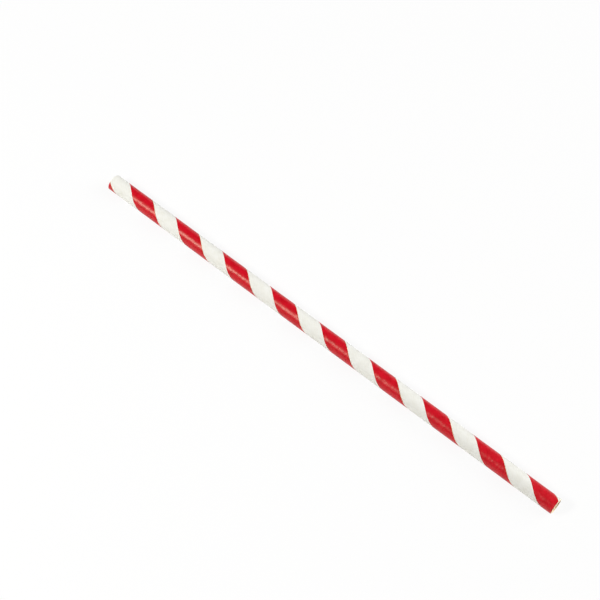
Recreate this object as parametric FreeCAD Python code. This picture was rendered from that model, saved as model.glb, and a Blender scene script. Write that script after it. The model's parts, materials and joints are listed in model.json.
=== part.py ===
import FreeCAD, Part
import math
import os

# A paper drinking straw. Three plies of paper tape are wound in a spiral round a mandrel,
# glued to each other and cut to length, so the finished tube is one piece.
# The turns of a ply lie edge to edge. The butt seam of the outer ply and the one of the
# inner ply stay open as fine spiral grooves, one ply deep.
# The outer tape is printed red along one edge, so the tube carries a red spiral field.
# The straw lies on its side along +X, and the origin is at the middle of its underside.

# Sizes in millimetres and degrees
straw_length = 197.0
bore_diameter = 5.1
ply_thickness = 0.165
ply_count = 3
winding_pitch = 22.2            # along the straw, one turn of the tapes
outer_seam_gap = 0.22           # along the straw, between two turns of the outer ply
inner_seam_gap = 0.22           # the same in the bore
inner_seam_lead = 7.4           # along the straw, from the outer ply's seam to the inner ply's
red_part_of_turn = 0.5          # the rest of the outer ply is white
red_start_angle = 32.5          # at the left end, from the underside towards +Y

# Worked out from those
bore_radius = bore_diameter / 2
inner_ply_radius = bore_radius + ply_thickness
straw_radius = bore_radius + ply_count * ply_thickness
outer_ply_radius = straw_radius - ply_thickness
red_edge = red_part_of_turn * winding_pitch
inner_seam_edge = red_edge + inner_seam_lead

# Limits of the drawing, in millimetres
same_point = 1e-6
sewing_tolerance = 1e-4

# The straw is built standing on the left end, round +Z. A point of a wall is given by
# its angle round the tube in radians and its height, and a seam or the edge of the print
# is a straight line in these two.


def seam_height(angle, lead):
    """height of a spiral line that lies the given lead past the start of the red field"""
    return winding_pitch * (angle - math.radians(red_start_angle)) / (2 * math.pi) + lead


def half_turns(low_lead, high_lead):
    """angles at which a band between two spiral lines is divided, two to a turn"""
    zero = math.radians(red_start_angle)
    first = math.floor(-2 * high_lead / winding_pitch)
    last = math.ceil(2 * (straw_length - low_lead) / winding_pitch)
    return [(zero + math.pi * i, zero + math.pi * (i + 1)) for i in range(first, last)]


def crossing(start, end, level):
    """the point at a height on the line between two points"""
    share = (level - start[1]) / (end[1] - start[1])
    return (start[0] + share * (end[0] - start[0]), level)


def cut_at(points, level, side):
    """the part of a flat outline that lies above (side 1) or below (side -1) a height"""
    kept = []
    for start, end in zip(points, points[1:] + points[:1]):
        if side * (start[1] - level) >= 0:
            kept.append(start)
        if (start[1] - level) * (end[1] - level) < 0:
            kept.append(crossing(start, end, level))
    return kept


def without_repeats(points):
    """the points of an outline that differ from the one before them"""
    before = points[-1:] + points[:-1]
    return [p for p, last in zip(points, before) if math.dist(p, last) > same_point]


def trimmed(points):
    """the part of a flat outline or line that lies on the straw"""
    return without_repeats(cut_at(cut_at(points, 0, 1), straw_length, -1))


def curve_on(surface, start, end):
    """edge on a cylinder, straight in angle and height"""
    line = Part.Geom2d.Line2dSegment(FreeCAD.Base.Vector2d(*start), FreeCAD.Base.Vector2d(*end))
    return line.toShape(surface)


def cylinder(radius):
    surface = Part.Cylinder()
    surface.Radius = radius
    return surface


def spiral_band(radius, low_lead, high_lead):
    """faces of the band between two spiral lines, on a cylinder"""
    surface = cylinder(radius)
    faces = []
    for start, end in half_turns(low_lead, high_lead):
        corners = trimmed([
            (start, seam_height(start, low_lead)),
            (end, seam_height(end, low_lead)),
            (end, seam_height(end, high_lead)),
            (start, seam_height(start, high_lead)),
        ])
        if len(corners) < 3:
            continue
        edges = [curve_on(surface, a, b) for a, b in zip(corners, corners[1:] + corners[:1])]
        face = Part.Face(surface, Part.Wire(edges))
        face.validate()
        faces.append(face)
    return faces


def seam_wall(inner_radius, outer_radius, lead):
    """faces of the cut edge of a tape, between two radii"""
    faces = []
    for start, end in half_turns(lead, lead):
        ends = trimmed([(start, seam_height(start, lead)), (end, seam_height(end, lead))])
        if len(ends) < 2:
            continue
        lines = [Part.Wire(curve_on(cylinder(r), *ends)) for r in (inner_radius, outer_radius)]
        faces += Part.makeLoft(lines, False, True).Faces
    return faces


def outside_faces():
    """the printed outside of the tube, with the open seam of the outer ply"""
    seam_end = red_edge + outer_seam_gap
    red_field = spiral_band(straw_radius, 0, red_edge)
    white_field = spiral_band(straw_radius, seam_end, winding_pitch)
    seam_floor = spiral_band(outer_ply_radius, red_edge, seam_end)
    walls = seam_wall(outer_ply_radius, straw_radius, red_edge)
    walls += seam_wall(outer_ply_radius, straw_radius, seam_end)
    return red_field + white_field + seam_floor + walls


def bore_faces():
    """the plain bore, with the open seam of the inner ply"""
    seam_end = inner_seam_edge + inner_seam_gap
    bore = spiral_band(bore_radius, seam_end, inner_seam_edge + winding_pitch)
    seam_floor = spiral_band(inner_ply_radius, inner_seam_edge, seam_end)
    walls = seam_wall(bore_radius, inner_ply_radius, inner_seam_edge)
    walls += seam_wall(bore_radius, inner_ply_radius, seam_end)
    return bore + seam_floor + walls


def sewn(faces):
    shape = Part.makeCompound(faces)
    shape.sewShape(sewing_tolerance)
    return shape


def end_outline(wall, height):
    """closed outline of a wall at one end of the straw"""
    edges = [edge for edge in wall.getFreeEdges().Edges
             if all(abs(v.Z - height) < sewing_tolerance for v in edge.Vertexes)]
    return Part.Wire(Part.__sortEdges__(edges))


def paper_straw():
    """the whole tube, standing on its left end"""
    outside = sewn(outside_faces()).Shells[0]
    bore = sewn(bore_faces()).Shells[0]
    faces = outside.Faces + bore.Faces
    for height in (0, straw_length):
        outlines = [end_outline(wall, height) for wall in (outside, bore)]
        faces.append(Part.makeFace(outlines, "Part::FaceMakerBullseye"))
    return Part.makeSolid(sewn(faces).Shells[0])


def lay_down(solid):
    """turn the tube from +Z to +X, on its side, with the origin under its middle"""
    solid.rotate(FreeCAD.Vector(0, 0, 0), FreeCAD.Vector(0, 1, 0), 90)
    solid.translate(FreeCAD.Vector(-straw_length / 2, 0, straw_radius))
    return solid


os.makedirs("parts", exist_ok=True)
straw = lay_down(paper_straw())
straw.exportStep("parts/straw_tube.step")

tube_volume = math.pi * (straw_radius ** 2 - bore_radius ** 2) * straw_length
print("straw_tube", "valid" if straw.isValid() else "not valid", len(straw.Solids), "solid")
print("volume", round(straw.Volume, 2), "of", round(tube_volume, 2), "mm3 with the seams filled")
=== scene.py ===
import bpy
import json
import math
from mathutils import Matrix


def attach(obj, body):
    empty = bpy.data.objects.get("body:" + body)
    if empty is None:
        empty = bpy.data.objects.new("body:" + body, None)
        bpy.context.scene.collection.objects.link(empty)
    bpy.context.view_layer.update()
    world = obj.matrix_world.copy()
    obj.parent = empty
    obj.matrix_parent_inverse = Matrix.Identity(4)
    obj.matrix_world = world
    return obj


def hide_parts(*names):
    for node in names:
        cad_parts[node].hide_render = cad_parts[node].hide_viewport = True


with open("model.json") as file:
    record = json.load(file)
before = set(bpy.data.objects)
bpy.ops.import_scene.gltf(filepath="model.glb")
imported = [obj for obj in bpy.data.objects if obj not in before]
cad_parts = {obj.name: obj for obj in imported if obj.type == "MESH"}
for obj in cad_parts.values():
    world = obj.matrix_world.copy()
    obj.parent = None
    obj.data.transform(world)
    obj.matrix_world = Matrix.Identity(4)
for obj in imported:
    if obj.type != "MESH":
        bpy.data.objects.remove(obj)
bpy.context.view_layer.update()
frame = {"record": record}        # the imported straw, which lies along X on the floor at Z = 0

mounts = {mount["name"]: mount["dims"] for mount in frame["record"]["mounts"]}
strawLength = mounts["outside"]["length_mm"]
strawRadius = mounts["outside"]["r_mm"]
boreRadius = mounts["bore"]["r_mm"]
millimetre = 0.001        # the straw is drawn in millimetres round X, and brought to metres at the end


def clearSelection():
    if bpy.context.object and bpy.context.object.mode != "OBJECT":
        bpy.ops.object.mode_set(mode="OBJECT")
    bpy.ops.object.select_all(action="DESELECT")


def linearColour(hexCode):        # sRGB hex to the linear values that a socket takes
    values = [int(hexCode[i:i + 2], 16) / 255 for i in (1, 3, 5)]
    return [v / 12.92 if v <= 0.04045 else ((v + 0.055) / 1.055) ** 2.4 for v in values] + [1.0]


def newMaterial(name):
    material = bpy.data.materials.new(name)
    material.use_nodes = True
    material.node_tree.nodes.clear()
    return material


def addNode(material, kind, settings=None, inputs=None):        # a socket given as an input is linked
    node = material.node_tree.nodes.new(kind)
    for name, value in (settings or {}).items():
        setattr(node, name, value)
    for name, value in (inputs or {}).items():
        if isinstance(value, bpy.types.NodeSocket):
            material.node_tree.links.new(value, node.inputs[name])
        else:
            node.inputs[name].default_value = value
    return node


# Bleached kraft paper with a thin satin clay coat, as the outer tape is. It is smooth, but the
# fibres under the coat show as a faint cloudiness and as low ripples along the tape, and the wound
# wall is slightly wavy. The fibres are drawn several times as coarse as real ones, so that they show.
coatedPaper = {
    "colour": "#F3F3EE", "cloudColour": "#EBEAE1",
    "fibreLength": 2.4, "fibreWidth": 0.3,        # mm
    "cloudSize": 3.0,                             # mm, of the clouds and of the waves
    "roughness": 0.55, "shine": 0.25, "sheenColour": "#FFFFFF",
    "fibreHeight": 0.008, "waveHeight": 0.03,     # mm
}

# Water-based ink, printed by flexography on the same tape: one flat, dense and slightly glossy
# film, a little thinner on top of the fibres, with a slightly warm sheen. The fibres and the waves
# are drawn both coarser and higher than real ones, so that they break up the sheen as on the straw.
redInk = {
    "colour": "#D60A25", "cloudColour": "#BA0015",
    "fibreLength": 1.8, "fibreWidth": 0.35,       # mm
    "cloudSize": 2.0,                             # mm
    "roughness": 0.36, "shine": 0.4, "sheenColour": "#F8FFE8",
    "fibreHeight": 0.035, "waveHeight": 0.18,     # mm
}
cloudRange = (0.15, 0.4)        # fibres times clouds, where the cloud colour begins and where it is full


def tapeMaterial(name, look):
    material = newMaterial(name)
    tape = addNode(material, "ShaderNodeUVMap", {"uv_map": "tape"}).outputs["UV"]
    stretched = addNode(material, "ShaderNodeMapping", inputs={
        "Vector": tape, "Scale": (1 / look["fibreLength"], 1 / look["fibreWidth"], 1)})
    fibres = addNode(material, "ShaderNodeTexNoise", inputs={
        "Vector": stretched.outputs["Vector"], "Scale": 1.0, "Detail": 4.0, "Roughness": 0.6})
    clouds = addNode(material, "ShaderNodeTexNoise", inputs={
        "Vector": tape, "Scale": 1 / look["cloudSize"], "Detail": 3.0})
    both = addNode(material, "ShaderNodeMath", {"operation": "MULTIPLY"}, {
        0: fibres.outputs["Fac"], 1: clouds.outputs["Fac"]})
    amount = addNode(material, "ShaderNodeMapRange", inputs={
        "Value": both.outputs["Value"], "From Min": cloudRange[0], "From Max": cloudRange[1]})
    # a colour mix has its colours at inputs 6 and 7 and its result at output 2
    colour = addNode(material, "ShaderNodeMix", {"data_type": "RGBA"}, {
        0: amount.outputs["Result"], 6: linearColour(look["colour"]), 7: linearColour(look["cloudColour"])})
    waves = addNode(material, "ShaderNodeBump", inputs={
        "Height": clouds.outputs["Fac"], "Strength": 1.0, "Distance": look["waveHeight"] * millimetre})
    relief = addNode(material, "ShaderNodeBump", inputs={
        "Height": fibres.outputs["Fac"], "Strength": 1.0, "Distance": look["fibreHeight"] * millimetre,
        "Normal": waves.outputs["Normal"]})
    surface = addNode(material, "ShaderNodeBsdfPrincipled", inputs={
        "Base Color": colour.outputs[2], "Normal": relief.outputs["Normal"],
        "Roughness": look["roughness"], "Specular IOR Level": look["shine"], "IOR": 1.5,
        "Specular Tint": linearColour(look["sheenColour"])})
    addNode(material, "ShaderNodeOutputMaterial", inputs={"Surface": surface.outputs["BSDF"]})
    return material


# The same kraft paper without a coat, as the inner tape is: a warm, matt and cloudy white.
innerPaper = {
    "colour": "#FFECC4", "cloudColour": "#F8DDAA",
    "fibreSize": 0.5,         # mm, as coarse as it needs to show
    "roughness": 0.8,
    "fibreHeight": 0.01,      # mm
}


def innerPaperMaterial(name, look):
    material = newMaterial(name)
    tape = addNode(material, "ShaderNodeUVMap", {"uv_map": "tape"}).outputs["UV"]
    fibres = addNode(material, "ShaderNodeTexNoise", inputs={
        "Vector": tape, "Scale": 1 / look["fibreSize"], "Detail": 4.0})
    colour = addNode(material, "ShaderNodeMix", {"data_type": "RGBA"}, {
        0: fibres.outputs["Fac"], 6: linearColour(look["colour"]), 7: linearColour(look["cloudColour"])})
    relief = addNode(material, "ShaderNodeBump", inputs={
        "Height": fibres.outputs["Fac"], "Strength": 1.0, "Distance": look["fibreHeight"] * millimetre})
    surface = addNode(material, "ShaderNodeBsdfPrincipled", inputs={
        "Base Color": colour.outputs[2], "Normal": relief.outputs["Normal"],
        "Roughness": look["roughness"], "IOR": 1.45})
    addNode(material, "ShaderNodeOutputMaterial", inputs={"Surface": surface.outputs["BSDF"]})
    return material


# Bare paper at the cut ends and in the open seams: cream, fibrous and matt, with the glue
# between the three plies as two slightly darker lines.
cutPaper = {
    "colour": "#FFF1D8", "glueColour": "#F6E2BE",
    "glueLine": 0.03,         # mm
    "fibreSize": 0.12,        # mm
    "fibreShade": 0.35,       # how far the fibres' colour goes towards the glue's
    "roughness": 0.9,
    "fibreHeight": 0.02,      # mm
}


def cutPaperMaterial(name, look, glueRadii):
    material = newMaterial(name)
    place = addNode(material, "ShaderNodeTexCoord").outputs["Object"]
    fromAxis = addNode(material, "ShaderNodeVectorMath", {"operation": "SUBTRACT"}, {
        0: place, 1: (0, 0, strawRadius * millimetre)})
    across = addNode(material, "ShaderNodeVectorMath", {"operation": "MULTIPLY"}, {
        0: fromAxis.outputs["Vector"], 1: (0, 1, 1)})
    radius = addNode(material, "ShaderNodeVectorMath", {"operation": "LENGTH"}, {
        0: across.outputs["Vector"]})
    fibres = addNode(material, "ShaderNodeTexNoise", inputs={
        "Vector": place, "Scale": 1 / (look["fibreSize"] * millimetre), "Detail": 3.0})
    dark = addNode(material, "ShaderNodeMath", {"operation": "MULTIPLY"}, {
        0: fibres.outputs["Fac"], 1: look["fibreShade"]})
    for glueRadius in glueRadii:
        line = addNode(material, "ShaderNodeMath", {"operation": "COMPARE"}, {
            0: radius.outputs["Value"], 1: glueRadius * millimetre, 2: look["glueLine"] / 2 * millimetre})
        dark = addNode(material, "ShaderNodeMath", {"operation": "MAXIMUM"}, {
            0: dark.outputs["Value"], 1: line.outputs["Value"]})
    colour = addNode(material, "ShaderNodeMix", {"data_type": "RGBA"}, {
        0: dark.outputs["Value"], 6: linearColour(look["colour"]), 7: linearColour(look["glueColour"])})
    relief = addNode(material, "ShaderNodeBump", inputs={
        "Height": fibres.outputs["Fac"], "Strength": 1.0, "Distance": look["fibreHeight"] * millimetre})
    surface = addNode(material, "ShaderNodeBsdfPrincipled", inputs={
        "Base Color": colour.outputs[2], "Normal": relief.outputs["Normal"],
        "Roughness": look["roughness"], "IOR": 1.45})
    addNode(material, "ShaderNodeOutputMaterial", inputs={"Surface": surface.outputs["BSDF"]})
    return material


# The straw: the section of its wall over one turn of the tapes, wound along the X axis as on the
# mandrel, and cut to length. The winding has the same sizes as the solid's.
straw = {
    "pitch": 22.2,                # mm along the straw, one turn of the tapes
    "redPartOfTurn": 0.5,
    "redStartAngle": 32.5,        # degrees at the left end, from the underside towards +Y
    "plyThickness": 0.165,        # mm
    "outerSeamGap": 0.22,         # mm along the straw, between two turns of the outer tape
    "innerSeamGap": 0.22,         # mm, the same in the bore
    "innerSeamLead": 7.4,         # mm along the straw, from the outer seam to the inner one
    "stepsPerTurn": 96,
    "runDivisions": 3,            # extra points on each long run of the section
    "spareTurns": 2,              # wound past the ends, and cut off
    "cutBevel": 0.2,              # mm that the knife presses the outer edge of a cut end back
    "pressedLength": 0.8,         # mm of the wall at each end that give way to it
    "smoothAngle": 30,            # degrees, the edges of the tapes and of the cut ends are sharper
}
redEdge = straw["pitch"] * straw["redPartOfTurn"]
redStartOnTop = straw["pitch"] * (180 - straw["redStartAngle"]) / 360 - strawLength / 2
outerSeamFloor = strawRadius - straw["plyThickness"]
innerSeamFloor = boreRadius + straw["plyThickness"]
closeEnough = 0.001        # mm, between two places that count as the same
# how far the middle of one step of the winding lies inside the circle
chordDepth = strawRadius * (1 - math.cos(math.pi / straw["stepsPerTurn"]))


def selectParts(piece, kind, test):        # the faces, edges or points whose middle passes the test
    bpy.ops.object.mode_set(mode="OBJECT")
    mesh = piece.data
    for part in [*mesh.polygons, *mesh.edges, *mesh.vertices]:
        part.select = False
    if kind == "FACE":
        for face in mesh.polygons:
            face.select = test(face.center)
    elif kind == "EDGE":
        for edge in mesh.edges:
            ends = [mesh.vertices[i].co for i in edge.vertices]
            edge.select = test((ends[0] + ends[1]) / 2)
    else:
        for point in mesh.vertices:
            point.select = test(point.co)
    bpy.ops.object.mode_set(mode="EDIT")
    bpy.ops.mesh.select_mode(type=kind)


def bisect(point, normal, clearOutside=False):
    bpy.ops.mesh.bisect(
        plane_co=point, plane_no=normal, clear_outer=clearOutside, threshold=closeEnough / 100)


def wallSection():        # outline of the wall over one turn, with the two open seams as notches
    start = redStartOnTop - straw["spareTurns"] * straw["pitch"]
    end = start + straw["pitch"]
    middleHeight = (boreRadius + strawRadius) / 2
    clearSelection()
    bpy.ops.mesh.primitive_plane_add(
        size=1, location=((start + end) / 2, 0, middleHeight), rotation=(math.pi / 2, 0, 0))
    piece = bpy.context.object
    piece.scale = (straw["pitch"], strawRadius - boreRadius, 1)
    bpy.ops.object.transform_apply(location=True, rotation=True, scale=True)

    outerSeam = (start + redEdge, start + redEdge + straw["outerSeamGap"])
    innerEdge = outerSeam[0] + straw["innerSeamLead"]
    innerSeam = (innerEdge, innerEdge + straw["innerSeamGap"])
    for edge in outerSeam + innerSeam:
        selectParts(piece, "FACE", lambda middle: True)
        bisect((edge, 0, 0), (1, 0, 0))
    selectParts(piece, "FACE", lambda middle: outerSeam[0] < middle.x < outerSeam[1])
    bisect((0, 0, outerSeamFloor), (0, 0, 1))
    selectParts(piece, "FACE", lambda middle: innerSeam[0] < middle.x < innerSeam[1])
    bisect((0, 0, innerSeamFloor), (0, 0, 1))
    selectParts(piece, "FACE", lambda middle: (
        outerSeam[0] < middle.x < outerSeam[1] and middle.z > outerSeamFloor
        or innerSeam[0] < middle.x < innerSeam[1] and middle.z < innerSeamFloor))
    bpy.ops.mesh.delete(type="FACE")

    selectParts(piece, "FACE", lambda middle: True)
    bpy.ops.mesh.region_to_loop()
    bpy.ops.mesh.select_all(action="INVERT")
    bpy.ops.mesh.delete(type="EDGE_FACE")        # only the outline is left
    selectParts(piece, "EDGE", lambda middle: min(abs(middle.x - start), abs(middle.x - end)) < closeEnough)
    bpy.ops.mesh.delete(type="EDGE")             # the turns lie against each other there
    selectParts(piece, "EDGE", lambda middle: not (
        outerSeam[0] - closeEnough < middle.x < outerSeam[1] + closeEnough
        or innerSeam[0] - closeEnough < middle.x < innerSeam[1] + closeEnough))
    bpy.ops.mesh.subdivide(number_cuts=straw["runDivisions"])
    bpy.ops.object.mode_set(mode="OBJECT")
    return piece


def windTube(piece):
    winding = piece.modifiers.new("winding", "SCREW")
    winding.axis = "X"
    winding.angle = 2 * math.pi
    winding.screw_offset = straw["pitch"]
    winding.iterations = math.ceil(strawLength / straw["pitch"]) + straw["spareTurns"]
    winding.steps = winding.render_steps = straw["stepsPerTurn"]
    bpy.ops.object.modifier_apply(modifier=winding.name)
    bpy.ops.object.mode_set(mode="EDIT")
    bpy.ops.mesh.select_all(action="SELECT")
    bpy.ops.mesh.remove_doubles(threshold=closeEnough / 2)        # joins each turn to the next


def cutToLength(piece):
    wall = strawRadius - boreRadius
    for side in (-1, 1):
        end = side * strawLength / 2
        selectParts(piece, "FACE", lambda middle: True)
        bisect((end, 0, 0), (side, 0, 0), clearOutside=True)
        selectParts(piece, "EDGE", lambda middle: abs(middle.x - end) < closeEnough)
        bpy.ops.mesh.fill()        # the cut ring between the outside and the bore
        firm = end - side * straw["pressedLength"]
        for radius in (strawRadius, outerSeamFloor, innerSeamFloor):        # the outer edge of each ply
            setBack = straw["cutBevel"] * ((radius - boreRadius) / wall) ** 2
            selectParts(piece, "VERT", lambda place: (
                side * (place.x - firm) > 0
                and abs(math.hypot(place.y, place.z) - radius) < chordDepth + closeEnough))
            bpy.ops.transform.resize(
                value=(1 - setBack / straw["pressedLength"], 1, 1), center_override=(firm, 0, 0))
    bpy.ops.mesh.select_all(action="SELECT")
    bpy.ops.mesh.normals_make_consistent(inside=False)
    bpy.ops.object.mode_set(mode="OBJECT")


def angleFromTop(point):        # round +X, from +Z towards -Y
    return math.atan2(-point.y, point.z)


def leadOf(x, angle):        # distance along the straw from the start of the red field
    return x - redStartOnTop - straw["pitch"] * angle / (2 * math.pi)


def mapTape(piece):        # unrolls each turn of the tapes: millimetres along them and across them
    tape = piece.data.uv_layers.new(name="tape")
    girth = 2 * math.pi * strawRadius
    turnLength = math.hypot(straw["pitch"], girth)
    for face in piece.data.polygons:
        middleAngle = angleFromTop(face.center)
        turn = math.floor(leadOf(face.center.x, middleAngle) / straw["pitch"])
        for corner in face.loop_indices:
            point = piece.data.vertices[piece.data.loops[corner].vertex_index].co
            difference = angleFromTop(point) - middleAngle
            angle = middleAngle + (difference + math.pi) % (2 * math.pi) - math.pi
            width = leadOf(point.x, angle) - turn * straw["pitch"]
            woundAngle = angle + turn * 2 * math.pi
            tape.data[corner].uv = (
                width * straw["pitch"] / turnLength + woundAngle / (2 * math.pi) * turnLength,
                width * girth / turnLength)


def paintFaces(piece, materials):
    red, white, inside, cut = range(4)        # places in the list of materials
    shallow = straw["plyThickness"] / 3       # a face deeper in the wall than this belongs to a seam
    endFacing = 0.5                           # a cut end's faces look along the straw more than this
    for material in materials:
        piece.data.materials.append(material)
    for face in piece.data.polygons:
        radius = math.hypot(face.center.y, face.center.z)
        lead = leadOf(face.center.x, angleFromTop(face.center)) % straw["pitch"]
        if abs(face.normal.x) > endFacing or boreRadius + shallow < radius < strawRadius - shallow:
            face.material_index = cut
        elif radius < boreRadius + shallow:
            face.material_index = inside
        else:
            face.material_index = white if lead > redEdge else red


strawTube = wallSection()
windTube(strawTube)
cutToLength(strawTube)
print("wound tube:", len(strawTube.data.polygons), "faces")
mapTape(strawTube)
paintFaces(strawTube, [
    tapeMaterial("red_ink_on_coated_paper", redInk),
    tapeMaterial("coated_kraft_paper", coatedPaper),
    innerPaperMaterial("uncoated_kraft_paper", innerPaper),
    cutPaperMaterial("cut_paper", cutPaper, (innerSeamFloor, outerSeamFloor)),
])
bpy.ops.object.shade_smooth_by_angle(angle=math.radians(straw["smoothAngle"]))
strawTube.name = strawTube.data.name = "spiral_wound_straw"
strawTube.location = (0, 0, strawRadius * millimetre)
strawTube.scale = (millimetre,) * 3
bpy.ops.object.transform_apply(location=True, rotation=True, scale=True)
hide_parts("straw_tube")
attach(strawTube, "root")
print("materials on the tube:", [material.name for material in strawTube.data.materials])


# The studio: a white paper sweep, a small and slightly warm key lamp on the camera's left, a large
# soft lamp behind the straw, another one high on its right, and weak light from all round.
studio = {
    "sweepRadius": 3.0, "sweepHeight": 0.7, "sweepBend": 0.5,        # metres
    "sweepSides": 96, "bendSteps": 8,
    "sweepColour": "#F4F4F4",
    "sweepWhiteness": 0.9,        # the share of plain white in what the camera and reflections see there
    "keyPlace": (-0.34, -0.42, 0.58), "keySize": 0.16, "keyPower": 4.6,        # metres and watts
    "keyColour": "#FFFEFA",
    "backPlace": (0.7, 0.8, 0.5), "backSize": 0.8, "backPower": 9.7,
    "rightPlace": (0.6, 0.4, 0.9), "rightSize": 0.7, "rightPower": 3.1,
    "skyStrength": 0.06,
}


def sweepMaterial():        # white paper, which the camera sees as nearly plain white
    material = newMaterial("white_paper_sweep")
    matt = addNode(material, "ShaderNodeBsdfDiffuse", inputs={"Color": linearColour(studio["sweepColour"])})
    white = addNode(material, "ShaderNodeEmission", inputs={"Color": (1, 1, 1, 1), "Strength": 1.0})
    ray = addNode(material, "ShaderNodeLightPath")
    seen = addNode(material, "ShaderNodeMath", {"operation": "MAXIMUM"}, {
        0: ray.outputs["Is Camera Ray"], 1: ray.outputs["Is Glossy Ray"]})
    seen = addNode(material, "ShaderNodeMath", {"operation": "MAXIMUM"}, {
        0: seen.outputs["Value"], 1: ray.outputs["Is Transmission Ray"]})
    share = addNode(material, "ShaderNodeMath", {"operation": "MULTIPLY"}, {
        0: seen.outputs["Value"], 1: studio["sweepWhiteness"]})
    mixed = addNode(material, "ShaderNodeMixShader", inputs={
        0: share.outputs["Value"], 1: matt.outputs["BSDF"], 2: white.outputs["Emission"]})
    addNode(material, "ShaderNodeOutputMaterial", inputs={"Surface": mixed.outputs["Shader"]})
    return material


def paperSweep():        # a round sheet, bent up at its edge so that it is white to the horizon on all sides
    clearSelection()
    bpy.ops.mesh.primitive_circle_add(
        vertices=studio["sweepSides"], radius=studio["sweepRadius"], fill_type="NGON", location=(0, 0, 0))
    sweep = bpy.context.object
    sweep.name = "paper_sweep"
    selectParts(sweep, "EDGE", lambda middle: True)
    bpy.ops.mesh.extrude_edges_move(TRANSFORM_OT_translate={"value": (0, 0, studio["sweepHeight"])})
    selectParts(sweep, "EDGE", lambda middle: middle.z < closeEnough)
    bpy.ops.mesh.bevel(offset=studio["sweepBend"], segments=studio["bendSteps"], affect="EDGES")
    bpy.ops.object.mode_set(mode="OBJECT")
    sweep.data.materials.append(sweepMaterial())


def addLamp(name, place, size, power, colour="#FFFFFF"):        # a square soft lamp that faces the straw
    clearSelection()
    bpy.ops.object.light_add(type="AREA", location=place)
    lamp = bpy.context.object
    lamp.name = name
    lamp.data.shape = "SQUARE"
    lamp.data.size = size
    lamp.data.energy = power
    lamp.data.color = linearColour(colour)[:3]
    lamp.rotation_euler = lamp.location.to_track_quat("Z", "Y").to_euler()


paperSweep()
addLamp("key_lamp", studio["keyPlace"], studio["keySize"], studio["keyPower"], studio["keyColour"])
addLamp("back_lamp", studio["backPlace"], studio["backSize"], studio["backPower"])
addLamp("right_lamp", studio["rightPlace"], studio["rightSize"], studio["rightPower"])
sky = bpy.data.worlds.new("white_surroundings")
sky.use_nodes = True
background = sky.node_tree.nodes["Background"]
background.inputs["Color"].default_value = (1, 1, 1, 1)
background.inputs["Strength"].default_value = studio["skyStrength"]
bpy.context.scene.world = sky

# The camera looks down on the straw from its near right side, with a short telephoto lens.
view = {
    "place": (0.14379, -0.17834, 0.49745),        # metres
    "turn": (26.173, 0.747, 39.305),              # degrees
    "lens": 94.14, "sensor": 36,                  # mm
    "nearest": 0.01,                              # metres, nothing nearer is seen
}
clearSelection()
bpy.ops.object.camera_add(location=view["place"], rotation=[math.radians(a) for a in view["turn"]])
camera = bpy.context.object
camera.name = "camera"
camera.data.lens = view["lens"]
camera.data.sensor_width = view["sensor"]
camera.data.clip_start = view["nearest"]
bpy.context.scene.camera = camera
bpy.context.scene.view_settings.view_transform = "Standard"
print("studio and camera are set")

clearSelection()
bpy.context.view_layer.update()
